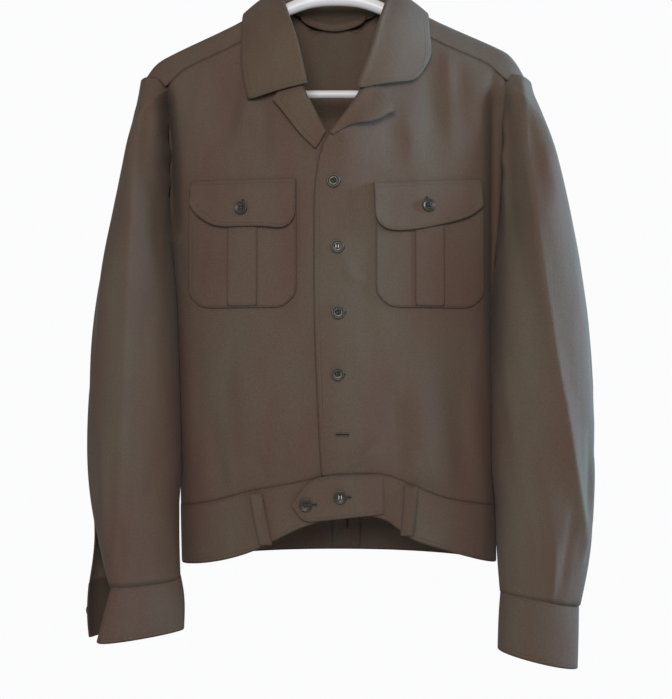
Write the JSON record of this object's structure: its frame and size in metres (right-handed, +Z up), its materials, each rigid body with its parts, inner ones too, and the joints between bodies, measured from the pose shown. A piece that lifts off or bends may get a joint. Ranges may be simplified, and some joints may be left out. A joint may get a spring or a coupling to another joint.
{
  "type": "military tunic on a hanger",
  "caption": "Short olive military tunic with waistband, pointed waist tab, flap breast pockets and open shirt collar, buttoned and hung on a white plastic hanger.",
  "frame": {"origin": "inside top of the hanger's hook, where a rail carries it", "axes": "+Z up, the front faces -Y, +X to the viewer's right when facing the front"},
  "size_m": [0.6144, 0.1729, 0.8979],
  "materials": {
    "cloth": "matt olive-brown twill",
    "buttons": "satin dark olive plastic",
    "hanger": "smooth white plastic"
  },
  "bodies": {
    "root": {"back": "cloth", "front_left": "cloth", "front_right": "cloth", "collar": "cloth", "lapel_left": "cloth", "lapel_right": "cloth", "sleeve_front_left": "cloth", "sleeve_back_left": "cloth", "sleeve_front_right": "cloth", "sleeve_back_right": "cloth", "cuff_left": "cloth", "cuff_right": "cloth", "pocket_left": "cloth", "pocket_right": "cloth", "pocket_pleat_left": "cloth", "pocket_pleat_right": "cloth", "pocket_flap_left": "cloth", "pocket_flap_right": "cloth", "waistband_left": "cloth", "waistband_right": "cloth", "waistband_back": "cloth", "waist_tab": "cloth", "belt_loop_front_1": "cloth", "belt_loop_front_2": "cloth", "belt_loop_back_1": "cloth", "belt_loop_back_2": "cloth", "hang_loop": "cloth", "trouser_tab": "cloth", "button_front_1": "buttons", "button_front_2": "buttons", "button_front_3": "buttons", "button_front_4": "buttons", "button_waist": "buttons", "button_tab_end": "buttons", "button_flap_left": "buttons", "button_flap_right": "buttons", "button_cuff_left": "buttons", "button_cuff_right": "buttons", "hanger_arm_left": "hanger", "hanger_arm_right": "hanger", "hanger_bar": "hanger", "hanger_hook": "hanger"}
  },
  "joints": []
}
